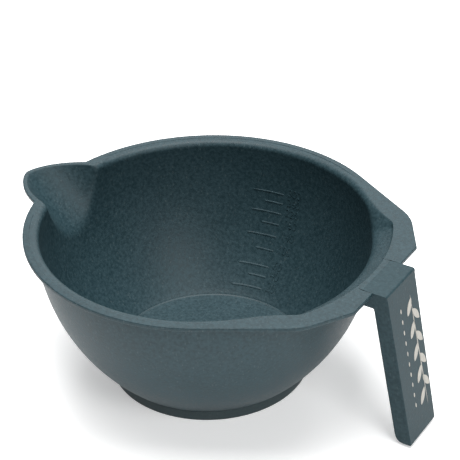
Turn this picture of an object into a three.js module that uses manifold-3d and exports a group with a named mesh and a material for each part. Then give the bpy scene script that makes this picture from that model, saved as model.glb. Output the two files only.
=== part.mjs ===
// A hair colour mixing bowl: a round bowl with a level rim, a pouring spout, a raised volume
// scale, a leaning channel grip pushed onto a lug under the rim, and a non-slip foot ring.
// Millimetres, +Z up. Everything is drawn round the bowl's own axis; the spout points to -X and
// the grip to +X. The whole object is then moved along X, so that the middle of its footprint
// on the table is the origin.
import * as THREE from 'three';
import { mergeVertices } from 'three/addons/utils/BufferGeometryUtils.js';
import Module from 'manifold-3d';

const wasm = await Module();
wasm.setup();

// ---- Driving dimensions ----

const bowlHeight = 61.6;        // table to the top of the rim
const rimRadius = 66.5;         // outer edge of the round rim
const rimThickness = 1.8;
const rimOverhang = 4.0;        // how far the rim stands out past the wall
const wall = 1.8;
const floorTop = 5.6;           // table to the bowl's inner floor
const floorThickness = 2.0;
const lipReach = 2.5;           // soft rounding from the flat rim into the wall, level
const lipDrop = 2.4;            // and downwards

const footRadius = 37.6;        // outside of the foot ring
const footHeight = 4.6;
const footStep = 0.6;           // how far the wall starts outside the foot ring
const ringFlank = 1.5;          // each side of the ring's U section
const ringBase = 1.5;
const skirtThickness = 1.6;     // the bowl's foot skirt, which the ring is pushed over

const wingTangent = 60;         // degrees round from the grip, where the rim leaves its circle
const wingReach = 7.05;         // the grip side's straight end edge, past the rim radius
const wingHalfWidth = 23.4;
const shoulderInset = 3.6;      // the wing's rounded shoulder, inside the rim radius
const shoulderRound = 5;

const pocketReach = 1.2;        // the drip pocket's outer edge, past the rim radius
const pocketOuterDepth = 1.1;   // rim to the pocket's floor at its outer edge
const pocketInnerDepth = 5.2;   // and where it runs into the wall
const pocketSkinThickness = 1.4;
const pocketFlare = 0.9;        // the skin's foot under the rim, past the pocket
const pocketEndInset = 7.9;     // from the rim radius in to the pocket's end, square to the wing's side
const pocketEndLean = 45;       // degrees from upright
const pocketSector = 48;        // degrees each side of the grip that the pocket stays within

const spoutTurn = 2;            // degrees that the spout sits off the line through the grip
const spoutReach = 13.6;        // tip past the rim radius
const spoutHalfWidth = 17.2;    // where the spout leaves the rim
const spoutWall = 1.8;
const spoutDepth = 20.6;        // rim to the lowest point of the trough
const spoutSkin = 3.0;          // extra depth of the outside under the trough

const gripWidth = 21.4;         // at the rim
const gripTaper = 0.0138;       // half width lost for each millimetre down
const gripReach = 5.4;          // front face past the wing's end edge, at the rim
const gripLean = 10.47;         // degrees from upright
const gripDepth = 6.1;          // front face to back edge, measured level
const gripPlate = 2.0;
const gripSide = 1.8;
const gripClearance = 1.0;      // gap under the grip
const gripHeel = 3.4;           // rounded back corner at the bottom
const gripRibs = 3;
const gripRibThickness = 1.3;
const armDepth = 6.45;          // the arm under the rim
const armInset = 5.4;           // how far the arm's sides run in from the wing's end edge
const seatInset = 3.8;          // how far the grip's top plate is let into the rim

const fit = 0.3;                // clearance between pieces

const markVolumes = [20, 40, 60, 100, 140, 180, 220, 260, 300];   // millilitres
const longMark = 13.5;
const shortMark = 8.2;
const markHeight = 0.7;
const markProud = 0.35;
const scaleLead = 5.5;          // millilitres that the scale reads high, as the marks sit low
const markStart = -0.8;         // the marks' common end, from the bowl's middle plane

const roundSteps = 96;
const wallSteps = 12;
const lipSteps = 4;
const curveSegments = 7;

// ---- Sizes that follow ----

const wallTopRadius = rimRadius - rimOverhang;
const wallFootRadius = footRadius + footStep;
const wallRise = bowlHeight - footHeight;
const wallRun = wallTopRadius - wallFootRadius;
const wallArc = (wallRun ** 2 + wallRise ** 2) / (2 * wallRun);     // arc that is upright at the rim
const outerRadiusAt = (z) => wallTopRadius - wallArc + Math.sqrt(wallArc ** 2 - (bowlHeight - z) ** 2);
const innerRadiusAt = (z) =>
  wallTopRadius - wallArc + Math.sqrt((wallArc - wall) ** 2 - (bowlHeight - z) ** 2);
const innerTopRadius = wallTopRadius - wall;

const wingX = rimRadius + wingReach;
const gripTopX = wingX + gripReach;
const seatX = wingX - seatInset;
const gripSlope = Math.tan(THREE.MathUtils.degToRad(gripLean));
const platePerSlope = gripPlate / Math.cos(THREE.MathUtils.degToRad(gripLean));
const gripFrontAt = (z) => gripTopX + gripSlope * (bowlHeight - z);
const gripBackAt = (z) => gripFrontAt(z) - gripDepth;
const underRim = bowlHeight - rimThickness;
const armUnder = bowlHeight - armDepth;

// ---- Solids: geometry in, geometry out ----

function solid(geometry) {
  const bare = geometry.clone();
  bare.deleteAttribute('normal');
  bare.deleteAttribute('uv');
  const merged = mergeVertices(bare, 1e-4);
  const corners = merged.index.array;
  const kept = [];
  for (let i = 0; i < corners.length; i += 3) {
    const [a, b, c] = [corners[i], corners[i + 1], corners[i + 2]];
    if (a !== b && b !== c && c !== a) kept.push(a, b, c);
  }
  const make = (list) => new wasm.Manifold(new wasm.Mesh({
    numProp: 3,
    vertProperties: Float32Array.from(merged.attributes.position.array),
    triVerts: Uint32Array.from(list),
  }));
  const made = make(kept);
  return made.volume() > 0 ? made : make(kept.reverse());
}

function geometryOf(manifold) {
  const mesh = manifold.getMesh();
  const geometry = new THREE.BufferGeometry();
  geometry.setAttribute('position', new THREE.BufferAttribute(mesh.vertProperties, 3));
  geometry.setIndex(new THREE.BufferAttribute(mesh.triVerts, 1));
  return geometry;
}

// A profile of [radius, height] points turned round the bowl's axis. Off the axis, it closes on itself.
function turned(profile) {
  const points = profile.map(([radius, z]) => new THREE.Vector2(radius, z));
  if (points[0].x > 0) points.push(points[0].clone());
  return solid(new THREE.LatheGeometry(points, roundSteps).rotateX(Math.PI / 2));
}

// A flat outline [x, y] raised from one height to another.
function raised(outline, low, high) {
  const depth = high - low;
  const geometry = new THREE.ExtrudeGeometry(outline, { depth, bevelEnabled: false, curveSegments });
  return solid(geometry.translate(0, 0, low));
}

// A side outline [x, z] made as wide as the two y values.
function sideways(outline, low, high) {
  const depth = high - low;
  const geometry = new THREE.ExtrudeGeometry(outline, { depth, bevelEnabled: false, curveSegments });
  return solid(geometry.rotateX(Math.PI / 2).translate(0, high, 0));
}

function outlineOf(points) {
  return new THREE.Shape(points.map(([x, y]) => new THREE.Vector2(x, y)));
}

function block(x0, x1, y0, y1, z0, z1) {
  const geometry = new THREE.BoxGeometry(x1 - x0, y1 - y0, z1 - z0);
  return solid(geometry.translate((x0 + x1) / 2, (y0 + y1) / 2, (z0 + z1) / 2));
}

const addAll = (first, ...rest) => rest.reduce((sum, next) => sum.add(next), first);

// The grip and the lug inside it get narrower towards the table.
function tapered(manifold) {
  const geometry = geometryOf(manifold);
  const at = geometry.attributes.position;
  for (let i = 0; i < at.count; i += 1) {
    const narrow = 1 - (gripTaper / (gripWidth / 2)) * (bowlHeight - at.getZ(i));
    at.setY(i, at.getY(i) * narrow);
  }
  return solid(geometry);
}

// ---- The bowl ----

function wallArcPoints(radiusAt, low, high) {
  return Array.from({ length: wallSteps + 1 }, (_, i) => {
    const z = low + ((high - low) * i) / wallSteps;
    return [radiusAt(z), z];
  });
}

const skirtOuter = footRadius - ringFlank - fit;
const skirtInner = skirtOuter - skirtThickness;
const floorUnder = floorTop - floorThickness;
const skirtBottom = ringBase + fit;

function bowlBody() {
  return turned([
    [0, floorUnder],
    [skirtInner, floorUnder],
    [skirtInner, skirtBottom],
    [skirtOuter, skirtBottom],
    [skirtOuter, footHeight],
    ...wallArcPoints(outerRadiusAt, footHeight, bowlHeight),
    [0, bowlHeight],
  ]);
}

// A quarter of an ellipse, from the wall up to the flat rim.
function lipPoints() {
  return Array.from({ length: lipSteps }, (_, i) => {
    const turn = (Math.PI / 2) * ((i + 1) / lipSteps);
    const radius = innerTopRadius + lipReach * (1 - Math.cos(turn));
    return [radius, bowlHeight - lipDrop * (1 - Math.sin(turn))];
  });
}

function bowlCavity() {
  return turned([
    [0, floorTop],
    ...wallArcPoints(innerRadiusAt, floorTop, bowlHeight - lipDrop),
    ...lipPoints(),
    [innerTopRadius + lipReach, bowlHeight + 2],
    [0, bowlHeight + 2],
  ]);
}

const wingLine = (x) => {      // y on the straight run that touches the rim circle
  const turn = THREE.MathUtils.degToRad(wingTangent);
  return (rimRadius - x * Math.cos(turn)) / Math.sin(turn);
};

// The flat rim: a disc, and a wing on the grip side with rounded shoulders and a seat for the grip.
function rimPlate() {
  const turn = THREE.MathUtils.degToRad(wingTangent);
  const touch = [rimRadius * Math.cos(turn), rimRadius * Math.sin(turn)];
  const shoulder = [rimRadius - shoulderInset, wingLine(rimRadius - shoulderInset)];
  const tip = [wingX, wingHalfWidth];
  const towards = (from, to, distance) => {
    const length = Math.hypot(to[0] - from[0], to[1] - from[1]);
    return from.map((value, i) => value + ((to[i] - value) * distance) / length);
  };
  const before = towards(shoulder, touch, shoulderRound);
  const after = towards(shoulder, tip, shoulderRound);
  const seatHalf = gripWidth / 2 + fit;
  const wing = new THREE.Shape();
  wing.moveTo(0, 0);
  wing.lineTo(touch[0], -touch[1]);
  wing.lineTo(before[0], -before[1]);
  wing.quadraticCurveTo(shoulder[0], -shoulder[1], after[0], -after[1]);
  wing.lineTo(tip[0], -tip[1]);
  wing.lineTo(wingX, -seatHalf);
  wing.lineTo(seatX - fit, -seatHalf);
  wing.lineTo(seatX - fit, seatHalf);
  wing.lineTo(wingX, seatHalf);
  wing.lineTo(tip[0], tip[1]);
  wing.lineTo(after[0], after[1]);
  wing.quadraticCurveTo(shoulder[0], shoulder[1], before[0], before[1]);
  wing.lineTo(touch[0], touch[1]);
  const disc = turned([[0, underRim], [rimRadius, underRim], [rimRadius, bowlHeight], [0, bowlHeight]]);
  return disc.add(raised(wing, underRim, bowlHeight));
}

// All that lies beyond a plane that leans out over the drip pocket's end.
function pocketEnd(side) {
  const above = 4;
  const below = 12;
  const lean = Math.tan(THREE.MathUtils.degToRad(pocketEndLean));
  const distance = rimRadius - pocketEndInset;
  const plane = sideways(outlineOf([
    [distance + lean * above, bowlHeight + above],
    [distance - lean * below, bowlHeight - below],
    [distance + rimRadius, bowlHeight - below],
    [distance + rimRadius, bowlHeight + above],
  ]), -rimRadius, rimRadius);
  return plane.rotate([0, 0, side * wingTangent]);
}

function pocketWedge(points) {
  const far = rimRadius * 2;
  const turn = THREE.MathUtils.degToRad(pocketSector);
  const sector = outlineOf([[0, 0], [far, -far * Math.tan(turn)], [far, far * Math.tan(turn)]]);
  return turned(points).intersect(raised(sector, 0, bowlHeight + 4));
}

const pocketRadius = rimRadius + pocketReach;
const pocketFall = (pocketInnerDepth - pocketOuterDepth) / (pocketRadius - innerTopRadius);
const pocketDepthAt = (radius) => pocketOuterDepth + pocketFall * (pocketRadius - radius);

// The pocket's floor falls from its outer edge to the wall, between two leaning ends.
function pocketHollow() {
  const inner = innerTopRadius - wall / 2;
  const hollow = pocketWedge([
    [0, bowlHeight - pocketDepthAt(inner)],
    [inner, bowlHeight - pocketDepthAt(inner)],
    [pocketRadius, bowlHeight - pocketOuterDepth],
    [pocketRadius, bowlHeight + 2],
    [0, bowlHeight + 2],
  ]);
  return hollow.subtract(pocketEnd(1)).subtract(pocketEnd(-1));
}

// The skin under the pocket, from the wall to a foot under the rim.
function pocketSkin() {
  const inner = wallTopRadius - wall / 2;
  const half = bowlHeight - rimThickness / 2;
  return pocketWedge([
    [inner, half],
    [inner, bowlHeight - pocketDepthAt(inner) - pocketSkinThickness],
    [pocketRadius, bowlHeight - pocketOuterDepth - pocketSkinThickness],
    [pocketRadius + pocketFlare, underRim],
    [pocketRadius + pocketFlare, half],
  ]);
}

// ---- The spout: level sections of one beak-shaped curve that shrink down the wall ----

function beak(reach, halfWidth, root) {
  const half = new THREE.CubicBezierCurve(
    new THREE.Vector2(root, halfWidth),
    new THREE.Vector2(root + (reach - root) * 0.4, halfWidth * 0.77),
    new THREE.Vector2(reach, halfWidth * 0.36),
    new THREE.Vector2(reach, 0),
  ).getPoints(14);
  const mirrored = half.slice(0, -1).reverse().map((p) => new THREE.Vector2(p.x, -p.y));
  return [...half, ...mirrored];
}

function spoutSolid(curve, radiusAt, lowest, top) {
  const levels = 11;
  const core = rimRadius * 0.6;
  const rings = [];
  for (let level = 0; level <= levels; level += 1) {
    const share = Math.max(level / levels, 0.02);
    const z = lowest + (bowlHeight - lowest) * share;
    const reach = share ** 1.05;
    const width = share ** 0.38;
    rings.push([z, curve.map((p) => [radiusAt(z) + (p.x - radiusAt(bowlHeight)) * reach, p.y * width])]);
  }
  if (top > bowlHeight) rings.push([top, rings.at(-1)[1]]);
  const positions = [];
  for (const [z, ring] of rings) {
    const closed = [[core, ring[0][1]], ...ring, [core, ring.at(-1)[1]]];
    for (const [x, y] of closed) positions.push(x, y, z);
  }
  const count = curve.length + 2;
  const faces = [];
  for (let level = 0; level < rings.length - 1; level += 1) {
    for (let i = 0; i < count; i += 1) {
      const a = level * count + i;
      const b = level * count + ((i + 1) % count);
      faces.push(a, b, b + count, a, b + count, a + count);
    }
  }
  const lid = (rings.length - 1) * count;
  for (let i = 1; i < count - 1; i += 1) {
    faces.push(0, i + 1, i);
    faces.push(lid, lid + i, lid + i + 1);
  }
  const geometry = new THREE.BufferGeometry();
  geometry.setAttribute('position', new THREE.BufferAttribute(Float32Array.from(positions), 3));
  geometry.setIndex(faces);
  return solid(geometry).rotate([0, 0, 180 + spoutTurn]);
}

const spoutRoot = Math.sqrt(rimRadius ** 2 - spoutHalfWidth ** 2);

function spoutOutside() {
  const curve = beak(rimRadius + spoutReach, spoutHalfWidth, spoutRoot);
  return spoutSolid(curve, outerRadiusAt, bowlHeight - spoutDepth - spoutSkin, bowlHeight);
}

function spoutTrough() {
  const root = innerTopRadius - wall * 0.8;
  const curve = beak(rimRadius + spoutReach - spoutWall, spoutHalfWidth - spoutWall * 0.7, root);
  return spoutSolid(curve, innerRadiusAt, bowlHeight - spoutDepth, bowlHeight + 2);
}

// ---- The lug that the grip is pushed onto ----

const lugHalf = gripWidth / 2 - gripSide - fit;
const lugEnd = gripTopX - platePerSlope - fit;

function gripLug() {
  const lugUnder = armUnder + fit;
  const root = wallTopRadius - wall / 2;
  const tongue = block(root, lugEnd, -lugHalf, lugHalf, lugUnder, underRim - fit);
  const stem = block(root, seatX - fit, -lugHalf, lugHalf, lugUnder, underRim + rimThickness / 2);
  return tapered(tongue.add(stem));
}

// ---- The volume scale: raised bars whose heights follow from the volumes ----

function levelOf(millilitres) {
  const step = 0.05;
  let volume = 0;
  let z = floorTop;
  while (volume < millilitres * 1000 && z < bowlHeight) {
    volume += Math.PI * innerRadiusAt(z + step / 2) ** 2 * step;
    z += step;
  }
  return z;
}

function scaleMark(volume, index) {
  const z = levelOf(volume - scaleLead);
  const length = index % 2 === 0 ? longMark : shortMark;
  const radius = innerRadiusAt(z);
  const from = Math.acos(markStart / radius);
  const sweep = length / radius;
  const inner = radius - markProud;
  const outer = radius + wall / 2;
  const bar = new THREE.Shape();
  bar.absarc(0, 0, outer, from, from + sweep, false);
  bar.absarc(0, 0, inner, from + sweep, from, true);
  return raised(bar, z - markHeight / 2, z + markHeight / 2);
}

// ---- The grip: an upside-down L of channel section, open at the back ----

function gripOutline() {
  const foot = gripClearance;
  const heel = gripHeel;
  const side = new THREE.Shape();
  side.moveTo(wingX - armInset, armUnder);
  side.lineTo(gripBackAt(armUnder), armUnder);
  side.lineTo(gripBackAt(foot + heel), foot + heel);
  side.quadraticCurveTo(gripBackAt(foot), foot, gripBackAt(foot) + heel, foot);
  side.lineTo(gripFrontAt(foot), foot);
  side.lineTo(gripTopX, bowlHeight);
  side.lineTo(seatX, bowlHeight);
  side.lineTo(seatX, underRim - fit);
  side.lineTo(wingX - armInset, underRim - fit);
  return side;
}

function gripHollow() {
  const insideFront = (z) => gripFrontAt(z) - platePerSlope;
  const low = gripClearance + gripPlate;
  const open = gripDepth * 2;
  const half = gripWidth / 2 - gripSide;
  const outline = outlineOf([
    [wingX - armInset - 1, underRim],
    [insideFront(underRim), underRim],
    [insideFront(low), low],
    [gripBackAt(low) - open, low],
    [gripBackAt(armUnder) - open, armUnder - 1],
    [wingX - armInset - 1, armUnder - 1],
  ]);
  return sideways(outline, -half, half);
}

function gripRib(index) {
  const low = gripClearance + gripPlate;
  const high = armUnder - gripPlate;
  const z = low + ((high - low) * (index + 0.5)) / gripRibs;
  const half = gripWidth / 2 - gripSide / 2;
  const back = gripBackAt(z) + gripPlate / 2;
  const front = gripFrontAt(z) - platePerSlope / 2;
  return block(back, front, -half, half, z - gripRibThickness / 2, z + gripRibThickness / 2);
}

function grip() {
  const channel = sideways(gripOutline(), -gripWidth / 2, gripWidth / 2).subtract(gripHollow());
  const ribs = Array.from({ length: gripRibs }, (_, index) => gripRib(index));
  return tapered(addAll(channel, ...ribs));
}

// ---- The foot ring: a U section pushed over the skirt ----

function footRing() {
  const inner = skirtInner - fit - ringFlank;
  const chamfer = 0.4;
  return turned([
    [inner, chamfer],
    [inner + chamfer, 0],
    [footRadius - chamfer, 0],
    [footRadius, chamfer],
    [footRadius, footHeight - fit],
    [skirtOuter + fit, footHeight - fit],
    [skirtOuter + fit, ringBase],
    [skirtInner - fit, ringBase],
    [skirtInner - fit, floorUnder - fit],
    [inner, floorUnder - fit],
  ]);
}

// ---- Assembly ----

function bowl() {
  const outside = addAll(bowlBody(), rimPlate(), pocketSkin(), spoutOutside(), gripLug());
  const opening = addAll(bowlCavity(), pocketHollow(), spoutTrough());
  const hollowed = outside.subtract(opening);
  return addAll(hollowed, ...markVolumes.map(scaleMark));
}

const plastic = new THREE.MeshStandardMaterial({ color: 0x33474d, roughness: 0.55, metalness: 0 });
const gripPlastic = new THREE.MeshStandardMaterial({ color: 0x32474c, roughness: 0.55, metalness: 0 });
const rubber = new THREE.MeshStandardMaterial({ color: 0x233238, roughness: 0.8, metalness: 0 });

function piece(name, manifold, material) {
  const mesh = new THREE.Mesh(geometryOf(manifold), material);
  mesh.name = name;
  return mesh;
}

const assembly = new THREE.Group();
assembly.add(piece('bowl', bowl(), plastic));
assembly.add(piece('handle', grip(), gripPlastic));
assembly.add(piece('foot_ring', footRing(), rubber));

const extent = new THREE.Box3().setFromObject(assembly);
assembly.position.x = -(extent.min.x + extent.max.x) / 2;

const object = new THREE.Group();
object.add(assembly);
export default object;
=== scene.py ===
# %% [markdown]
# # A hair colour mixing bowl
#
# The object is a moulded tint bowl: a round bowl with a level rim, a pouring spout, a raised
# volume scale inside, a drip pocket on the grip's side, a channel-section grip and a soft ring
# under the foot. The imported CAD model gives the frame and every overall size. Blender gives the
# soft edges, the blends between one shape and the next, and the speckled plastic.

# %% Load the frame
import math

import bmesh
import bpy
import numpy as np
from mathutils import Matrix, Vector


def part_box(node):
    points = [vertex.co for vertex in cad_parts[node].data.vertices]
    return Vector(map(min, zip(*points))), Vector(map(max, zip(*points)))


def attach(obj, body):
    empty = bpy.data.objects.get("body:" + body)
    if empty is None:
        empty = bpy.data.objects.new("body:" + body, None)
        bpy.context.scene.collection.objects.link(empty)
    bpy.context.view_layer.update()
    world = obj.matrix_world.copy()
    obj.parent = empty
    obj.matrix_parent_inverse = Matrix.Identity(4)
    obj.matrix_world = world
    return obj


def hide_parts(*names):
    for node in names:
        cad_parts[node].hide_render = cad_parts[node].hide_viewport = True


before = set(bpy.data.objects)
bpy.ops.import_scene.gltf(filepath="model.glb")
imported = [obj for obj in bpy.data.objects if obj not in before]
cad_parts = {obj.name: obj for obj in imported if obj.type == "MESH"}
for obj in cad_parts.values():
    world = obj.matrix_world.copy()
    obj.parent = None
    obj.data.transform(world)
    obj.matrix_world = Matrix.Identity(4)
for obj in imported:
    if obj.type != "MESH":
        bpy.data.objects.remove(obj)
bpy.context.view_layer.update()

# %% [markdown]
# ## Sizes
#
# Moulded parts are drawn in millimetres, so all shapes below are worked out in millimetres and
# divided by 1000 when they become a mesh. The bowl's axis is the middle of the foot ring. Overall
# sizes are read from the frame, and what the frame can't say is a named value.

# %% Sizes from the frame
MM = 1000.0


def box_mm(node):
    """Lowest and highest corner of a CAD node, in millimetres."""
    low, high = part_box(node)
    return np.array(low) * MM, np.array(high) * MM


_, bowl_high = box_mm("bowl")
ring_low, ring_high = box_mm("foot_ring")
grip_low, grip_high = box_mm("handle")
AXIS_X = (ring_low[0] + ring_high[0]) / 2
HEIGHT = bowl_high[2]
RIM = bowl_high[1]
FOOT = ring_high[1]
FIT = 0.3
FOOT_HEIGHT = ring_high[2] + FIT
print(f"rim radius {RIM:.1f}, height {HEIGHT:.1f}, foot radius {FOOT:.1f}, axis at x {AXIS_X:.2f}")

# %% Sizes of the bowl's details
WALL = 1.8
WALL_TOP = RIM - 4.0            # outside of the wall, just under the rim
WALL_FOOT = FOOT + 0.6
FLOOR_DEPTH = HEIGHT - 5.6      # rim to the inner floor
FLOOR_UNDER = 3.6               # table to the underside of the floor
SKIRT_OUT = FOOT - 1.5 - FIT    # the skirt that the foot ring is pushed over
SKIRT_IN = SKIRT_OUT - 1.6
SKIRT_LOW = 1.5 + FIT
RIM_UNDER = 1.8                 # rim thickness at the wall
RIM_EDGE = 1.5                  # and at its outer edge
LIP_REACH = 2.5                 # soft rounding from the flat rim into the wall
LIP_DROP = 2.4
STEP_DROP = 0.14                # the rim's fine step down, inside its outer band

wall_rise = HEIGHT - FOOT_HEIGHT
wall_run = WALL_TOP - WALL_FOOT
WALL_ARC = (wall_run**2 + wall_rise**2) / (2 * wall_run)


def wall_radius(depth, inset=0.0):
    """Radius of the wall at a depth under the rim: a circular arc that is upright at the rim.

    The arc's centre is WALL_ARC inside the wall's top, and the inner face is inset by the wall.
    """
    return WALL_TOP - WALL_ARC + np.sqrt((WALL_ARC - inset) ** 2 - depth**2)


def smooth_max(a, b, width):
    """The larger of two surfaces, with a fillet: a parabola where they differ by under width."""
    width = np.maximum(width, 1e-3)
    return np.maximum(a, b) + np.maximum(width - np.abs(a - b), 0) ** 2 / (4 * width)


def smooth_min(a, b, width):
    """The smaller of two surfaces, with the same fillet."""
    return -smooth_max(-a, -b, width)


print(f"inner wall {wall_radius(0, WALL):.1f} at the rim,",
      f"{wall_radius(FLOOR_DEPTH, WALL):.1f} at the floor")

# %% [markdown]
# ## The spout
#
# The spout is a beak pressed out of the wall. At each level its section is a cap, highest in the
# middle and falling off by a power of the angle. Going down, its reach shrinks nearly straight
# and its width shrinks slowly, which gives the scoop its full, rounded tongue. Blending it into
# the wall with a smooth maximum makes the fillet that a mould would have.

# %% The spout's cap
SPOUT_AT = math.radians(182)
SPOUT_REACH = 17.6
SPOUT_OUT = dict(deepest=23.6, half=math.radians(17.6), power=1.45)
SPOUT_IN = dict(deepest=20.6, half=math.radians(15.9), power=1.6)


def from_spout(angle):
    """Angle away from the spout's middle, from 0 to half a turn."""
    return np.abs((angle - SPOUT_AT + np.pi) % (2 * np.pi) - np.pi)


def spout_radius(angle, depth, wall, deepest, half, power):
    """wall + reach * (1 - (angle / half width) ^ power), both shrinking with depth."""
    share = np.clip(1 - depth / deepest, 0, 1)
    width = half * np.maximum(share, 1e-4) ** 0.38
    cap = np.maximum(1 - (from_spout(angle) / width) ** power, -2)
    return wall + SPOUT_REACH * share**1.05 * cap, share


# %% [markdown]
# ## The drip pocket
#
# Opposite the spout, the rim is wider and has a shallow pocket where a brush can be wiped. Its
# outer edge is a circle, its floor falls towards the bowl like a cone, and its two ends lean out.
# Inside a sector round the grip the pocket's surface is the nearest of these three.

# %% The pocket's surface
WING_TURN = math.radians(60)
POCKET_EDGE = RIM + 1.2
POCKET_OUTER, POCKET_INNER = 1.1, 5.2
POCKET_END = RIM - 7.9
POCKET_SKIN = 1.4
pocket_fall = (POCKET_INNER - POCKET_OUTER) / (POCKET_EDGE - (WALL_TOP - WALL))


def from_grip(angle):
    """Angle away from the grip's middle, from 0 to half a turn."""
    return np.abs((angle + np.pi) % (2 * np.pi) - np.pi)


def pocket_radius(angle, depth, skin=0.0):
    """Radius of the pocket, or of its underside when skin is a thickness."""
    floor = POCKET_EDGE - np.maximum(depth - skin - POCKET_OUTER, 0) / pocket_fall
    away = np.minimum(from_grip(angle) - WING_TURN, 0)
    end = (POCKET_END + 1.4 * skin - np.maximum(depth - skin, 0)) / np.cos(away)
    return smooth_min(floor, end, 0.9)


# %% [markdown]
# ## The rim's outline
#
# The rim is a circle with two changes: the spout stands out of it, and on the grip's side it
# becomes a wing with straight sides that touch the circle, rounded shoulders, and a straight end
# with a notch for the grip's top plate.

# %% The outline as points round the bowl
WING_X = RIM + 7.05
SEAT_X = WING_X - 3.8 - 0.05
SEAT_HALF = grip_high[1] + 0.04
TIP_Y = 23.4
SHOULDER_X = RIM - 3.6
SHOULDER_ROUND = 5.0
NOTCH = math.radians(8.62)


def wing_line(x):
    """y on the straight line that touches the rim's circle at WING_TURN."""
    return (RIM - x * math.cos(WING_TURN)) / math.sin(WING_TURN)


def wing_stops():
    """Angles, x and y of the wing's corners from the grip to the circle.

    The shoulder is a curve: each point is a mean of its start, corner and end, weighted by
    (1 - t) squared, 2 t (1 - t) and t squared.
    """
    touch = np.array([RIM * math.cos(WING_TURN), RIM * math.sin(WING_TURN)])
    corner = np.array([SHOULDER_X, wing_line(SHOULDER_X)])
    tip = np.array([WING_X, TIP_Y])
    before = corner + (touch - corner) * SHOULDER_ROUND / np.linalg.norm(touch - corner)
    after = corner + (tip - corner) * SHOULDER_ROUND / np.linalg.norm(tip - corner)
    t = np.linspace(0, 1, 9)[:, None]
    bend = after * (1 - t) ** 2 + corner * 2 * t * (1 - t) + before * t**2
    points = np.vstack([tip, bend, touch])
    seat = np.array([[SEAT_X, 0], [SEAT_X, SEAT_HALF], [WING_X, SEAT_HALF]])
    turns = np.concatenate([[0, NOTCH, NOTCH + 6e-4], np.arctan2(points[:, 1], points[:, 0])])
    return turns, np.vstack([seat, points])


wing_turns, wing_points = wing_stops()


def rim_outline(angle):
    """x and y of the rim's outer edge at each angle."""
    beak, _ = spout_radius(angle, 0.0, WALL_TOP, **SPOUT_OUT)
    radius = smooth_max(np.full_like(angle, RIM), beak, 0.5)
    x, y = radius * np.cos(angle), radius * np.sin(angle)
    side = np.sign(np.sin(angle))
    on_wing = from_grip(angle) <= wing_turns[-1]
    x = np.where(on_wing, np.interp(from_grip(angle), wing_turns, wing_points[:, 0]), x)
    y = np.where(on_wing, side * np.interp(from_grip(angle), wing_turns, wing_points[:, 1]), y)
    return np.stack([x, y], -1)


# %% Angles round the bowl
def angles_round():
    """Angles of the bowl's columns: fine on the pocket and the spout, coarse on the plain wall."""
    fine, coarse = math.radians(0.42), math.radians(1.25)
    pocket = np.arange(0, math.radians(50), fine)
    plain = np.arange(math.radians(50), np.pi, coarse)
    half = np.concatenate([pocket, plain, wing_turns])
    spout = SPOUT_AT + np.arange(math.radians(-21), math.radians(21), fine)
    return np.unique(np.round(np.concatenate([half, 2 * np.pi - half, spout]) % (2 * np.pi), 5))


columns = angles_round()
print(len(columns), "columns round the bowl")

# %% [markdown]
# ## The bowl
#
# The bowl is one closed skin. At every angle the same profile is walked: out under the floor,
# round the foot skirt, up the outside, round the rim's edge, over the rim, down the inside and
# in over the floor. Each step of the walk is one ring of points, so the whole bowl is a grid of
# rings by angles, closed by one point at the middle of each end.


# %% Mesh helpers
SHARP = 32                      # degrees past which a corner is shaded as an edge


def mesh_object(name, points, faces, sharp=SHARP):
    """A piece from points in millimetres round the bowl's axis, smooth except at sharp corners."""
    mesh = bpy.data.meshes.new(name)
    placed = (np.asarray(points) + [AXIS_X, 0, 0]) / MM
    mesh.from_pydata(placed, [], faces)
    mesh.validate()
    mesh.polygons.foreach_set("use_smooth", np.ones(len(mesh.polygons), bool))
    mesh.set_sharp_from_angle(angle=math.radians(sharp))
    piece = bpy.data.objects.new(name, mesh)
    bpy.context.scene.collection.objects.link(piece)
    return piece


def loop_faces(rows, count):
    """Quads between neighbouring closed rings of count points."""
    i = np.arange(rows - 1)[:, None] * count
    j = np.arange(count)[None, :]
    k = (j + 1) % count
    return np.stack([i + j, i + k, i + count + k, i + count + j], -1).reshape(-1, 4)


def volume_cm3(piece):
    """Volume inside a closed piece: the sum of the pyramids from the origin to its triangles."""
    piece.data.calc_loop_triangles()
    corners = np.empty(len(piece.data.loop_triangles) * 3, np.int32)
    piece.data.loop_triangles.foreach_get("vertices", corners)
    at = np.empty(len(piece.data.vertices) * 3)
    piece.data.vertices.foreach_get("co", at)
    a, b, c = at.reshape(-1, 3)[corners].reshape(-1, 3, 3).transpose(1, 0, 2)
    return float(np.einsum("ij,ij->", a, np.cross(b, c)) / 6 * 1e6)


def report(piece):
    """Prints a piece's triangles and volume; the volume is positive when faces point outwards."""
    triangles = sum(len(p.vertices) - 2 for p in piece.data.polygons)
    print(f"{piece.name}: {triangles} triangles, {volume_cm3(piece):.2f} cm3")


# %% The bowl's surfaces at a depth
def outside_radius(angle, depth):
    """The outer wall, with the spout's and the pocket's undersides blended in."""
    wall = wall_radius(depth)
    beak, share = spout_radius(angle, depth, wall, **SPOUT_OUT)
    radius = smooth_max(wall, beak, 1.6 * share**0.5)
    skin = np.where(from_grip(angle) < WING_TURN, pocket_radius(angle, depth, POCKET_SKIN), 0)
    return smooth_max(radius, skin, 1.0)


def inside_radius(angle, depth):
    """The inner wall and its soft lip, with the spout's trough and the drip pocket let in."""
    wall = wall_radius(depth, WALL)
    up = np.clip(1 - depth / LIP_DROP, 0, 1)
    lip = LIP_REACH * (1 - np.sqrt(1 - up**2))
    fine = 0.45
    edge = fine * (1 - np.sqrt(1 - np.clip(1 - depth / fine, 0, 1) ** 2))
    trough, share = spout_radius(angle, depth, wall, **SPOUT_IN)
    radius = smooth_max(wall + lip, trough + edge, 2.4 * share**0.5)
    pocket = np.where(from_grip(angle) < WING_TURN, pocket_radius(angle, depth) + edge * 0.5, 0)
    return smooth_max(radius, pocket, 2.6)


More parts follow.
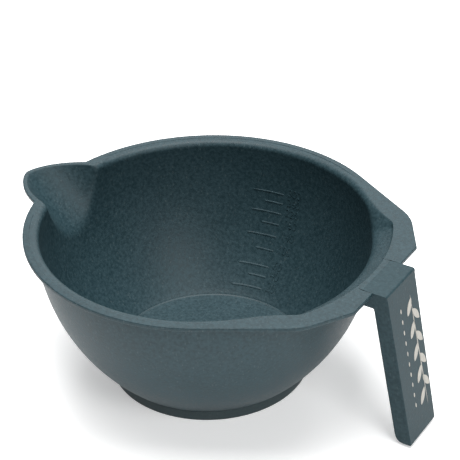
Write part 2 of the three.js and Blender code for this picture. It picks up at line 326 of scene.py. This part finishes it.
def ring(radius, z):
    """One ring of points at a radius, which may change with the angle, and a height."""
    radius = np.broadcast_to(radius, columns.shape)
    z = np.broadcast_to(z, columns.shape)
    return np.stack([radius * np.cos(columns), radius * np.sin(columns), z], -1)


def between(start, end, share, z):
    """Points part of the way from one level outline to another, at height z."""
    share = np.broadcast_to(share, columns.shape)[:, None]
    level = start[:, :2] * (1 - share) + end[:, :2] * share
    return np.concatenate([level, np.broadcast_to(z, columns.shape)[:, None]], -1)


# %% The walk along the profile
def foot_rings():
    """Under the floor, down and up the skirt, and out to the wall's foot."""
    corner = 0.35
    walk = [
        (10, FLOOR_UNDER), (20, FLOOR_UNDER), (SKIRT_IN - 2, FLOOR_UNDER),
        (SKIRT_IN - corner, FLOOR_UNDER), (SKIRT_IN, FLOOR_UNDER - corner),
        (SKIRT_IN, SKIRT_LOW + corner), (SKIRT_IN + corner, SKIRT_LOW),
        (SKIRT_OUT - corner, SKIRT_LOW), (SKIRT_OUT, SKIRT_LOW + corner),
        (SKIRT_OUT, FOOT_HEIGHT - corner), (SKIRT_OUT + corner, FOOT_HEIGHT),
        (WALL_FOOT - 0.7, FOOT_HEIGHT), (WALL_FOOT - 0.25, FOOT_HEIGHT + 0.08),
    ]
    return [ring(radius, z) for radius, z in walk]


def outer_rings():
    """Up the outside of the wall, closer together towards the rim."""
    low = wall_rise - 0.4
    depths = RIM_UNDER + 0.5 + (low - RIM_UNDER - 0.5) * np.linspace(1, 0, 36) ** 1.25
    return [ring(outside_radius(columns, depth), HEIGHT - depth) for depth in depths]


def rim_rings():
    """Out under the rim, round its edge and in over its top to the lip."""
    outer = np.concatenate([rim_outline(columns), np.zeros((len(columns), 1))], -1)
    wall = ring(outside_radius(columns, RIM_UNDER) + 0.25, 0)
    inner = ring(inside_radius(columns, 0.0), 0)
    width = np.linalg.norm(outer - inner, axis=1)
    beyond = np.minimum(from_grip(columns) - WING_TURN, from_spout(columns) - 0.33)
    step = STEP_DROP * np.clip(np.degrees(beyond) / 4, 0, 1)
    lower, upper = 0.3, np.where(from_grip(columns) < NOTCH + 3e-4, 0.02, 0.35)

    def inset(distance, z):
        return between(outer, inner, distance / width, z)

    rows = [between(wall, inset(lower, 0), share,
                    HEIGHT - RIM_UNDER + (RIM_UNDER - RIM_EDGE) * share)
            for share in (0.0, 0.1, 0.5, 0.9)]
    for turn in np.radians([0, 30, 60, 90]):
        rows.append(inset(lower * (1 - math.sin(turn)),
                          HEIGHT - RIM_EDGE + lower * (1 - math.cos(turn))))
    for turn in np.radians([0, 22, 45, 67, 90]):
        rows.append(inset(upper * (1 - math.cos(turn)), HEIGHT - upper * (1 - math.sin(turn))))
    for share, fall in ((0.2, 0), (0.5, 0), (0.68, 0), (0.72, 0.9), (0.78, 1.0), (0.97, 1.5)):
        rows.append(between(outer, inner, upper / width * (1 - share) + share,
                            HEIGHT - step * fall))
    return rows, step * 1.5


def inner_rings(drop):
    """Down the inside: round the lip, through the pocket's depth, and down to the floor."""
    lip = LIP_DROP * (1 - np.sin(np.radians(np.linspace(90, 0, 11))))
    pocket = np.arange(LIP_DROP + 0.28, 7.2, 0.28)
    wall = 7.5 + (FLOOR_DEPTH - 0.35 - 7.5) * np.linspace(0, 1, 36)
    rows = []
    for depth in np.concatenate([lip, pocket, wall]):
        settle = drop * max(0.0, 1 - depth / LIP_DROP)
        rows.append(ring(inside_radius(columns, depth), HEIGHT - depth - settle))
    return rows


def floor_rings():
    """A fine groove at the foot of the wall, then the floor's raised, rounded edge."""
    edge = wall_radius(FLOOR_DEPTH, WALL)
    floor = HEIGHT - FLOOR_DEPTH
    walk = [(0.02, 0.1), (-0.12, -0.08), (-0.3, -0.25), (-0.46, -0.25), (-0.54, -0.05),
            (-0.64, 0.16), (-0.82, 0.25), (-1.04, 0.19), (-1.28, 0.03), (-1.5, 0.0), (-6, 0),
            (-14, 0), (-24, 0)]
    return [ring(edge + out, floor + up) for out, up in walk]


# %% Build the bowl
def closed_skin(name, rows, low_pole, high_pole):
    """Rings joined by quads, with a fan of triangles to a point at each end."""
    count = len(rows[0])
    points = np.concatenate(rows + [[low_pole], [high_pole]])
    quads = loop_faces(len(rows), count)
    j = np.arange(count)
    k = (j + 1) % count
    last = (len(rows) - 1) * count
    low, high = len(points) - 2, len(points) - 1
    start = np.stack([np.full(count, low), k, j], -1)
    end = np.stack([np.full(count, high), last + j, last + k], -1)
    return mesh_object(name, points, quads.tolist() + start.tolist() + end.tolist())


rim_rows, rim_drop = rim_rings()
bowl_rows = foot_rings() + outer_rings() + rim_rows + inner_rings(rim_drop) + floor_rings()
bowl = closed_skin("bowl_shell", bowl_rows, [0, 0, FLOOR_UNDER], [0, 0, HEIGHT - FLOOR_DEPTH])
report(bowl)

# %% [markdown]
# ## The foot ring
#
# A soft ring of U section is pushed over the skirt. It is a turned part, so its profile is
# rounded at every corner and spun round the axis as rings of points.


# %% Build the foot ring
def rounded_profile(corners, radii, steps=4):
    """A closed outline of [across, z] corners, each replaced by an arc-like curve."""
    corners = np.asarray(corners, float)
    radii = np.broadcast_to(radii, len(corners))
    out = []
    for i, corner in enumerate(corners):
        before, after = corners[i - 1] - corner, corners[(i + 1) % len(corners)] - corner
        reach = [min(radii[i], np.linalg.norm(v) * 0.45) for v in (before, after)]
        a = corner + before / np.linalg.norm(before) * reach[0]
        b = corner + after / np.linalg.norm(after) * reach[1]
        t = np.linspace(0, 1, steps + 1)[:, None]
        out.append(a * (1 - t) ** 2 + corner * 2 * t * (1 - t) + b * t**2)
    return np.concatenate(out)


def spun(name, profile, around=256):
    """A closed [radius, z] outline spun round the axis into a ring."""
    turn = np.linspace(0, 2 * np.pi, around, endpoint=False)[None, :]
    radius, z = profile[:, :1], profile[:, 1:]
    points = np.stack([radius * np.cos(turn), radius * np.sin(turn), z + 0 * turn], -1)
    rows = np.concatenate([points, points[:1]])
    faces = loop_faces(len(rows), around) % (len(profile) * around)
    return mesh_object(name, points.reshape(-1, 3), faces.tolist())


RING_IN = SKIRT_IN - FIT - 1.5
ring_profile = rounded_profile([
    (RING_IN, 0), (FOOT, 0), (FOOT, FOOT_HEIGHT - FIT), (SKIRT_OUT + FIT, FOOT_HEIGHT - FIT),
    (SKIRT_OUT + FIT, 1.5), (SKIRT_IN - FIT, 1.5), (SKIRT_IN - FIT, FLOOR_UNDER - FIT),
    (RING_IN, FLOOR_UNDER - FIT),
], 0.5)
foot = spun("foot_band", ring_profile)
report(foot)

# %% [markdown]
# ## The grip
#
# The grip is an upside-down L of channel section: a front plate, a top plate let into the rim, two
# cheeks, and three ribs across the open back. It could be extruded face by face from a box, but a
# mould maker thinks of it as a solid slab with pockets sunk into its back. So the slab is a side
# outline carried across with rounded edges, and each pocket is a smaller slab cut out of it.

# %% Sizes of the grip
GRIP_HALF = grip_high[1]
GRIP_LOW = grip_low[2]
GRIP_TOP_X = WING_X + 5.4
GRIP_SLOPE = (grip_high[0] - AXIS_X - GRIP_TOP_X) / (HEIGHT - GRIP_LOW)
GRIP_TAPER = 0.0138             # half width lost for each millimetre down
GRIP_DEPTH = 6.1
GRIP_PLATE = 2.0
GRIP_CHEEK = 1.8
GRIP_HEEL = 3.4
ARM_X = grip_low[0] - AXIS_X
ARM_UNDER = HEIGHT - 6.45
TOP_PLATE = 1.65
LEDGE = 0.16                    # how far the top plate stands out past the cheeks
RIBS, RIB_THICK = 3, 1.3
LEAN = math.atan(GRIP_SLOPE)


def front_x(z):
    """x of the grip's leaning front face at a height."""
    return GRIP_TOP_X + GRIP_SLOPE * (HEIGHT - z)


def back_x(z):
    """x of the grip's back edge, one depth behind the front."""
    return front_x(z) - GRIP_DEPTH


def inside_x(z):
    """x of the back of the front plate."""
    return front_x(z) - GRIP_PLATE / math.cos(LEAN)


# %% A slab with rounded edges
def inset_outline(outline, distance):
    """A closed outline moved inwards: each point moves along the mean of its two edges' normals."""
    ahead = np.roll(outline, -1, 0) - outline
    ahead /= np.linalg.norm(ahead, axis=1)[:, None]
    behind = np.roll(ahead, 1, 0)
    normal = np.stack([-(ahead + behind)[:, 1], (ahead + behind)[:, 0]], -1)
    return outline + normal * distance * 2 / (normal**2).sum(1)[:, None]


def slab(name, corners, radii, half, edge=0.3):
    """An [x, z] outline, anticlockwise, carried from -half to half in y with rounded edges.

    Near each side the outline shrinks as y follows a quarter circle, and the whole slab gets
    narrower towards the table.
    """
    outline = rounded_profile(corners, radii)
    turns = np.radians([0, 30, 60, 90])
    stations = [(edge * (1 - math.sin(t)), half - edge * (1 - math.cos(t))) for t in turns]
    stations += [(inset, -y) for inset, y in stations[::-1]]
    rows = []
    for inset, y in stations:
        x, z = inset_outline(outline, inset).T
        rows.append(np.stack([x, y * (1 - GRIP_TAPER / GRIP_HALF * (HEIGHT - z)), z], -1))
    count = len(outline)
    faces = loop_faces(len(rows), count).tolist()
    last = (len(rows) - 1) * count
    faces += [list(range(count))[::-1], list(range(last, last + count))]
    return mesh_object(name, np.concatenate(rows), faces)


def split_faces(piece):
    """Divides every face into triangles, so that a hollow outline has no doubtful middle."""
    split = bmesh.new()
    split.from_mesh(piece.data)
    bmesh.ops.triangulate(split, faces=split.faces)
    split.to_mesh(piece.data)
    split.free()


def carve(piece, tools, operation):
    """Cuts each tool out of the piece, or joins it on, and removes the tool."""
    split_faces(piece)
    for tool in tools:
        split_faces(tool)
        cut = piece.modifiers.new(tool.name, "BOOLEAN")
        cut.object, cut.operation, cut.solver = tool, operation, "MANIFOLD"
    bpy.context.view_layer.update()
    shaped = piece.evaluated_get(bpy.context.evaluated_depsgraph_get())
    mesh = bpy.data.meshes.new_from_object(shaped)
    piece.modifiers.clear()
    piece.data = mesh
    for tool in tools:
        bpy.data.objects.remove(tool)


def tidy_cut(piece):
    """Merges the doubles that cutting leaves, and lets each big face keep its own normal."""
    merged = bmesh.new()
    merged.from_mesh(piece.data)
    bmesh.ops.remove_doubles(merged, verts=merged.verts, dist=3e-6)
    bmesh.ops.dissolve_degenerate(merged, edges=merged.edges, dist=1e-6)
    merged.to_mesh(piece.data)
    merged.free()
    piece.data.polygons.foreach_set("use_smooth", np.ones(len(piece.data.polygons), bool))
    piece.data.set_sharp_from_angle(angle=math.radians(SHARP))
    weighted = piece.modifiers.new("even faces", "WEIGHTED_NORMAL")
    weighted.weight, weighted.keep_sharp = 100, True


# %% Build the grip
under_rim = HEIGHT - RIM_UNDER - FIT
seat_x = SEAT_X + 0.01
body_corners = [
    (ARM_X, ARM_UNDER), (back_x(ARM_UNDER), ARM_UNDER), (back_x(GRIP_LOW), GRIP_LOW),
    (front_x(GRIP_LOW), GRIP_LOW), (GRIP_TOP_X, HEIGHT - 0.06), (seat_x + 0.4, HEIGHT - 0.06),
    (seat_x + 0.4, under_rim), (ARM_X, under_rim),
]
body_radii = [0.5, 0.6, GRIP_HEEL, 0.7, 0.8, 0.5, 0.5, 0.5]
grip = slab("grip", body_corners, body_radii, GRIP_HALF - LEDGE)

plate_low = HEIGHT - TOP_PLATE
plate_corners = [
    (seat_x, plate_low), (front_x(plate_low) - 0.07, plate_low), (GRIP_TOP_X - 0.05, HEIGHT),
    (seat_x, HEIGHT),
]
plate = slab("top_plate", plate_corners, [0.3, 0.3, 0.75, 0.06], GRIP_HALF, edge=0.04)
carve(grip, [plate], "UNION")

pocket_half = GRIP_HALF - GRIP_CHEEK
low, high = GRIP_LOW + GRIP_PLATE, ARM_UNDER - GRIP_PLATE
rib_at = [low + (high - low) * (i + 0.5) / RIBS for i in range(RIBS)]
stops = [low - RIB_THICK / 2] + rib_at
pockets = []
for i in range(RIBS):
    z0, z1 = stops[i] + RIB_THICK / 2, stops[i + 1] - RIB_THICK / 2
    corners = [(inside_x(z0), z0), (inside_x(z1), z1), (back_x(z1) - 2, z1), (back_x(z0) - 2, z0)]
    pockets.append(slab(f"pocket_{i}", corners, 0.5, pocket_half))
z0, z1 = rib_at[-1] + RIB_THICK / 2, HEIGHT - GRIP_PLATE
arm_pocket = [(inside_x(z0), z0), (inside_x(z1), z1), (ARM_X - 2, z1), (ARM_X - 2, ARM_UNDER - 2),
              (back_x(ARM_UNDER) - 2, ARM_UNDER - 2), (back_x(z0) - 2, z0)]
pockets.append(slab("arm_pocket", arm_pocket, 0.5, pocket_half))
shallow = [(back_x(low) + 1, low), (back_x(high) + 1, high), (back_x(high) - 2, high),
           (back_x(low) - 2, low)]
pockets.append(slab("rib_setback", shallow, 0.5, pocket_half))
carve(grip, pockets, "DIFFERENCE")
tidy_cut(grip)
report(grip)

# %% [markdown]
# ## The lug under the rim
#
# The grip is pushed onto a lug that is part of the bowl. It only shows from behind and below, so
# one more slab is enough. Its inner end leans, to stay under the drip pocket's floor.

# %% Build the lug
lug_half = GRIP_HALF - GRIP_CHEEK - FIT
lug_end = GRIP_TOP_X - GRIP_PLATE / math.cos(LEAN) - FIT
lug_corners = [(WALL_TOP - 1.2, ARM_UNDER + FIT), (lug_end, ARM_UNDER + FIT), (lug_end, under_rim),
               (POCKET_EDGE - 0.7, under_rim)]
lug = slab("grip_lug", lug_corners, 0.5, lug_half)
report(lug)

# %% [markdown]
# ## The volume scale
#
# Raised bars on the inner wall mark 20 to 300 millilitres. A mark's height is where the bowl holds
# that volume, found by adding up thin slices. Each bar is a rounded stick laid along the wall: an
# oval section carried along an arc, which shrinks to nothing at both ends.

# %% Heights of the marks
VOLUMES = [20, 40, 60, 100, 140, 180, 220, 260, 300]
LONG_MARK, SHORT_MARK = 13.5, 8.2
MARK_THICK, MARK_PROUD = 0.3, 0.24
MARK_START = math.pi / 2 + 0.8 / 57
SCALE_LEAD = 5.5                # millilitres that the scale reads high, as the marks sit low


def height_of(millilitres):
    """Height at which slices of the bowl, from the floor up, add up to the volume."""
    z = np.linspace(HEIGHT - FLOOR_DEPTH, HEIGHT - 1, 1200)
    slices = np.pi * wall_radius(HEIGHT - z, WALL) ** 2 * (z[1] - z[0]) / 1000
    return float(np.interp(millilitres, np.cumsum(slices), z))


mark_heights = [height_of(v - SCALE_LEAD) for v in VOLUMES]
print("marks at", [round(z, 1) for z in mark_heights])


# %% Build the marks
def stick(z, length):
    """Points and faces of one bar: ovals along an arc of the wall, smaller towards both ends."""
    around, along = 10, 22
    s = np.linspace(0, 1, along)[:, None]
    v = np.linspace(0, 2 * np.pi, around, endpoint=False)[None, :]
    blunt = np.sqrt(np.clip(1 - np.abs(2 * s - 1) ** 14, 1e-4, 1))
    height = z + MARK_THICK * blunt * np.sin(v)
    radius = wall_radius(HEIGHT - height, WALL) + MARK_PROUD * blunt * np.cos(v)
    angle = MARK_START + length / wall_radius(HEIGHT - z, WALL) * s + 0 * v
    points = np.stack([radius * np.cos(angle), radius * np.sin(angle), height], -1).reshape(-1, 3)
    faces = loop_faces(along, around).tolist()
    last = (along - 1) * around
    return points, faces + [list(range(around))[::-1], list(range(last, last + around))]


def joined(name, parts, sharp=40):
    """Several closed shapes as one piece."""
    points, faces = [], []
    for part_points, part_faces in parts:
        first = sum(len(p) for p in points)
        points.append(part_points)
        faces += [[corner + first for corner in face] for face in part_faces]
    return mesh_object(name, np.concatenate(points), faces, sharp)


lengths = [LONG_MARK if i % 2 == 0 else SHORT_MARK for i in range(len(VOLUMES))]
marks = joined("volume_marks", [stick(z, n) for z, n in zip(mark_heights, lengths)])
report(marks)

# %% [markdown]
# ## The numbers
#
# The numbers beside the marks are plain raised digits. Blender's own letters are made as a mesh
# while they are still flat; then a formula wraps them: across becomes an angle, up stays up, and
# thickness becomes a step in from the wall.

# %% Build the numbers
DIGIT_HEIGHT, DIGIT_PROUD = 2.9, 0.2
NUMBER_GAP = 1.5


def flat_text(body, size, thick):
    """Points and faces of a thick, flat text, in millimetres."""
    curve = bpy.data.curves.new("digits", "FONT")
    curve.body, curve.size, curve.extrude, curve.resolution_u = body, size, thick, 4
    holder = bpy.data.objects.new("digits", curve)
    bpy.context.scene.collection.objects.link(holder)
    bpy.context.view_layer.update()
    mesh = bpy.data.meshes.new_from_object(holder)
    points = np.array([v.co for v in mesh.vertices])
    faces = [list(p.vertices) for p in mesh.polygons]
    bpy.data.objects.remove(holder)
    return points, faces


def wrapped_number(volume, z):
    """A number wrapped on the wall, standing on its mark's height, beside the mark's start."""
    points, faces = flat_text(str(volume), DIGIT_HEIGHT / 0.7, DIGIT_PROUD)
    height = z + points[:, 1]
    radius = wall_radius(HEIGHT - height, WALL) - points[:, 2]
    angle = MARK_START - (points[:, 0] + NUMBER_GAP) / radius
    return np.stack([radius * np.cos(angle), radius * np.sin(angle), height], -1), faces


numbers = joined("volume_numbers", [wrapped_number(v, z) for v, z in zip(VOLUMES, mark_heights)])
report(numbers)

# %% [markdown]
# ## The print on the grip
#
# A pale ink motif runs down the grip's front: a twig of leaves with a row of short dashes beside
# it. Each is a closed outline, drawn flat, filled, and laid on the leaning face as a thin film.

# %% Build the print
INK = 0.05
front_down = np.array([math.sin(LEAN), 0, -math.cos(LEAN)])
front_out = np.array([math.cos(LEAN), 0, math.sin(LEAN)])
front_top = np.array([GRIP_TOP_X, 0, HEIGHT])


def on_front(across, down, proud):
    """Points on the grip's front: across is y, down runs along the slope, proud stands off it."""
    across, down, proud = np.broadcast_arrays(across, down, proud)
    return front_top + down[..., None] * front_down + across[..., None] * [0, 1, 0] \
        + proud[..., None] * front_out


def patch(across, down):
    """A filled shape of ink: its outline below and above the face, closed by two flat ends."""
    count = len(across)
    points = np.concatenate([on_front(across, down, -INK), on_front(across, down, INK)])
    faces = loop_faces(2, count).tolist()
    return points, faces + [list(range(count))[::-1], list(range(count, 2 * count))]


def leaf(across, down, length, width, tilt):
    """A pointed leaf: its half width follows a power of a sine along its length."""
    t = np.linspace(0, 2 * np.pi, 36, endpoint=False)
    along = np.cos(t) * length / 2
    out = np.sign(np.sin(t)) * np.abs(np.sin(t)) ** 1.6 * width / 2
    return patch(across + along * math.cos(tilt) - out * math.sin(tilt),
                 down + along * math.sin(tilt) + out * math.cos(tilt))


LEAVES, DASHES = 9, 10
strokes = [leaf(5.4, 30.5, 46, 0.5, math.radians(88))]
for i in range(LEAVES):
    side = 1 if i % 2 else -1
    tilt = math.radians(90 - side * 34)
    strokes.append(leaf(5.0 + 1.9 * side + 0.05 * i, 11.5 + 4.6 * i, 6.6, 2.6, tilt))
for i in range(DASHES):
    strokes.append(leaf(-2.9 + 0.08 * i, 10.0 + 4.3 * i, 1.9, 0.75, math.radians(90)))
motif = joined("leaf_print", strokes, 20)
report(motif)

# %% [markdown]
# ## Finishes
#
# The four finishes share effects, so each effect is a node group: flecks for the pale specks in
# the plastic, mottle for its cloudy variation, and grain for the fine moulded texture. They could
# be repeated in every material, but a group is built once and given its own values in each.


# %% Node helpers
def new_group(name, inputs, outputs):
    """An empty node group with named sockets, and its input and output nodes."""
    group = bpy.data.node_groups.new(name, "ShaderNodeTree")
    for socket, value in inputs.items():
        made = group.interface.new_socket(name=socket, in_out="INPUT",
                                          socket_type="NodeSocketFloat")
        made.default_value = value
    group.interface.new_socket(name="Vector", in_out="INPUT", socket_type="NodeSocketVector")
    for socket in outputs:
        group.interface.new_socket(name=socket, in_out="OUTPUT", socket_type="NodeSocketFloat")
    return group, group.nodes.new("NodeGroupInput"), group.nodes.new("NodeGroupOutput")


def node(tree, kind, settings=(), **links):
    """Adds a node, sets its properties, and sets or links its inputs.

    An input is given by name, or as i and its number where several share a name.
    """
    made = tree.nodes.new(kind)
    for key, value in dict(settings).items():
        setattr(made, key, value)
    for key, value in links.items():
        socket = made.inputs[int(key[1:]) if key[1:].isdigit() else key]
        if isinstance(value, bpy.types.NodeSocket):
            tree.links.new(value, socket)
        else:
            socket.default_value = value
    return made


# %% Flecks, mottle and grain
def make_flecks():
    """Short pale flecks: the middles of stretched cells, kept where a noise is high."""
    group, inp, out = new_group("flecks", {"Scale": 900.0, "Amount": 0.5}, ["Mask"])
    stretch = node(group, "ShaderNodeVectorMath", {"operation": "MULTIPLY"},
                   i0=inp.outputs["Vector"], i1=(1.0, 1.0, 0.45))
    cells = node(group, "ShaderNodeTexVoronoi", {"feature": "F1"}, Vector=stretch.outputs[0],
                 Scale=inp.outputs["Scale"])
    dots = node(group, "ShaderNodeMapRange", {"interpolation_type": "SMOOTHSTEP"},
                Value=cells.outputs["Distance"], **{"From Min": 0.34, "From Max": 0.12})
    few = node(group, "ShaderNodeTexNoise", Vector=inp.outputs["Vector"], Scale=420.0,
               Detail=2.0)
    keep = node(group, "ShaderNodeMapRange", Value=few.outputs[0],
                **{"From Min": 0.42, "From Max": 0.62})
    mask = node(group, "ShaderNodeMath", {"operation": "MULTIPLY"}, i0=dots.outputs[0],
                i1=keep.outputs[0])
    scaled = node(group, "ShaderNodeMath", {"operation": "MULTIPLY"}, i0=mask.outputs[0],
                  i1=inp.outputs["Amount"])
    group.links.new(scaled.outputs[0], out.inputs["Mask"])
    return group


def make_mottle():
    """Cloudy variation, from 0 to 1: a quick noise with a little of a slow one."""
    group, inp, out = new_group("mottle", {"Scale": 60.0}, ["Mask"])
    slow = node(group, "ShaderNodeTexNoise", Vector=inp.outputs["Vector"],
                Scale=inp.outputs["Scale"], Detail=3.0)
    quick = node(group, "ShaderNodeTexNoise", Vector=inp.outputs["Vector"], Scale=850.0,
                 Detail=5.0)
    faint = node(group, "ShaderNodeMath", {"operation": "MULTIPLY"}, i0=slow.outputs[0], i1=0.4)
    both = node(group, "ShaderNodeMath", {"operation": "MULTIPLY_ADD"}, i0=quick.outputs[0], i1=1.6,
                i2=faint.outputs[0])
    mask = node(group, "ShaderNodeMapRange", Value=both.outputs[0],
                **{"From Min": 0.75, "From Max": 1.25})
    group.links.new(mask.outputs[0], out.inputs["Mask"])
    return group


def make_grain():
    """Height of the moulded texture: fine noise."""
    group, inp, out = new_group("grain", {"Scale": 1500.0}, ["Height"])
    noise = node(group, "ShaderNodeTexNoise", Vector=inp.outputs["Vector"],
                 Scale=inp.outputs["Scale"], Detail=3.0)
    group.links.new(noise.outputs[0], out.inputs["Height"])
    return group


GROUPS = {"flecks": make_flecks(), "mottle": make_mottle(), "grain": make_grain()}


# %% A moulded plastic
def plastic(name, dark, light, fleck, fleck_amount, rough, grain, specular=0.5):
    """Two base colours mixed by mottle, pale flecks on top, and roughness and bump from noise."""
    material = bpy.data.materials.new(name)
    material.use_nodes = True
    tree = material.node_tree
    shader = tree.nodes["Principled BSDF"]
    at = node(tree, "ShaderNodeTexCoord").outputs["Object"]

    def effect(kind, **values):
        placed = node(tree, "ShaderNodeGroup", {"node_tree": GROUPS[kind]}, Vector=at, **values)
        return placed.outputs[0]

    cloud = effect("mottle", Scale=45.0)
    base = node(tree, "ShaderNodeMix", {"data_type": "RGBA"}, i0=cloud, i6=(*dark, 1),
                i7=(*light, 1))
    mask = effect("flecks", Scale=950.0, Amount=fleck_amount)
    colour = node(tree, "ShaderNodeMix", {"data_type": "RGBA"}, i0=mask, i6=base.outputs[2],
                  i7=(*fleck, 1))
    tree.links.new(colour.outputs[2], shader.inputs["Base Color"])
    dull = node(tree, "ShaderNodeMapRange", Value=cloud,
                **{"To Min": rough - 0.05, "To Max": rough + 0.05})
    tree.links.new(dull.outputs[0], shader.inputs["Roughness"])
    bump = node(tree, "ShaderNodeBump", Height=effect("grain", Scale=1400.0), Strength=grain,
                Distance=0.0001)
    tree.links.new(bump.outputs[0], shader.inputs["Normal"])
    shader.inputs["Specular IOR Level"].default_value = specular
    return material


petrol = plastic("petrol_plastic", (0.012, 0.030, 0.037), (0.024, 0.050, 0.060), (0.12, 0.15, 0.15),
                 0.2, 0.5, 0.7, 0.25)
grip_finish = plastic("grip_plastic", (0.016, 0.035, 0.042), (0.026, 0.050, 0.059),
                      (0.12, 0.15, 0.15), 0.15, 0.5, 0.7, 0.14)
rubber = plastic("foot_rubber", (0.014, 0.032, 0.038), (0.022, 0.042, 0.047), (0.08, 0.09, 0.09),
                 0.2, 0.62, 0.5)
ink = plastic("pale_ink", (0.34, 0.33, 0.30), (0.42, 0.40, 0.36), (0.26, 0.25, 0.23), 0.4, 0.6, 0.2)

# %% [markdown]
# ## Which piece wears which finish
#
# The bowl, its lug, marks and numbers are one moulding, so they share one plastic. Each piece
# rides on the only body and wears its finish, and any imported piece it stands for is hidden.

# %% Dress the pieces
DRESS = [
    (bowl, petrol, "bowl_plastic", ["bowl"]),
    (lug, petrol, "bowl_plastic", []),
    (marks, petrol, "bowl_plastic", []),
    (numbers, petrol, "bowl_plastic", []),
    (grip, grip_finish, "handle_plastic", ["handle"]),
    (motif, ink, "handle_plastic", []),
    (foot, rubber, "foot_rubber", ["foot_ring"]),
]
for piece, material, slot, nodes in DRESS:
    piece.data.materials.clear()
    piece.data.materials.append(material)
    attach(piece, "root")
    if nodes:
        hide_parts(*nodes)
    print(piece.name, "wears", material.name)

# %% [markdown]
# ## Floor, light and camera
#
# The bowl stands on a white table under soft studio light. Large lamps give the matte plastic its
# broad, soft shine: the flat rim mirrors what is behind it, and the outside mirrors the table.


# %% The floor
def plain_white():
    """A dull white that also glows a little, like a lit studio table."""
    material = bpy.data.materials.new("white_table")
    material.use_nodes = True
    shader = material.node_tree.nodes["Principled BSDF"]
    shader.inputs["Base Color"].default_value = (0.85, 0.85, 0.85, 1)
    shader.inputs["Roughness"].default_value = 0.9
    shader.inputs["Emission Color"].default_value = (1, 1, 1, 1)
    shader.inputs["Emission Strength"].default_value = 0.4
    return material


half = 4.0
table_mesh = bpy.data.meshes.new("table")
table_mesh.from_pydata([(-half, -half, 0), (half, -half, 0), (half, half, 0), (-half, half, 0)], [],
                       [(0, 1, 2, 3)])
table_mesh.materials.append(plain_white())
table = bpy.data.objects.new("table", table_mesh)
bpy.context.scene.collection.objects.link(table)
print("table", 2 * half, "m wide")


# %% The lamps
def lamp(name, place, aim, size, watts):
    """A square soft lamp that faces a point."""
    light = bpy.data.lights.new(name, "AREA")
    light.size, light.energy = size, watts
    holder = bpy.data.objects.new(name, light)
    holder.location = place
    holder.rotation_euler = (Vector(aim) - Vector(place)).to_track_quat("-Z", "Y").to_euler()
    bpy.context.scene.collection.objects.link(holder)


middle = (0, 0, 0.04)
lamp("overhead", (-0.05, 0.1, 1.2), middle, 0.9, 26)
lamp("behind", (-0.6, 1.4, 0.9), middle, 1.6, 14)
lamp("right", (0.70, -0.38, 0.66), middle, 0.4, 4.2)
world = bpy.data.worlds.new("studio")
world.use_nodes = True
world.node_tree.nodes["Background"].inputs[0].default_value = (1.0, 1.0, 1.0, 1)
world.node_tree.nodes["Background"].inputs[1].default_value = 0.15
bpy.context.scene.world = world
bpy.context.scene.view_settings.view_transform = "Standard"

# %% The camera
CAMERA_TURN, CAMERA_DOWN, CAMERA_ROLL = (math.radians(a) for a in (32.45, 31.96, -1.45))
CAMERA_AWAY = 0.5896
AIM = Vector(((AXIS_X + 7.39) / MM, 4.64 / MM, 58.08 / MM))
ahead = Vector((-math.sin(CAMERA_TURN) * math.cos(CAMERA_DOWN),
                math.cos(CAMERA_TURN) * math.cos(CAMERA_DOWN), -math.sin(CAMERA_DOWN)))
right = Vector((math.cos(CAMERA_TURN), math.sin(CAMERA_TURN), 0))
up = right.cross(ahead)
level = Matrix((right, up, -ahead)).transposed()
camera_data = bpy.data.cameras.new("camera")
camera_data.lens, camera_data.sensor_width = 126.5, 36
camera = bpy.data.objects.new("camera", camera_data)
camera.matrix_world = Matrix.Translation(AIM - ahead * CAMERA_AWAY) @ (
    level @ Matrix.Rotation(CAMERA_ROLL, 3, "Z")).to_4x4()
bpy.context.scene.collection.objects.link(camera)
bpy.context.scene.camera = camera
print("camera at", [round(v, 4) for v in camera.matrix_world.translation])
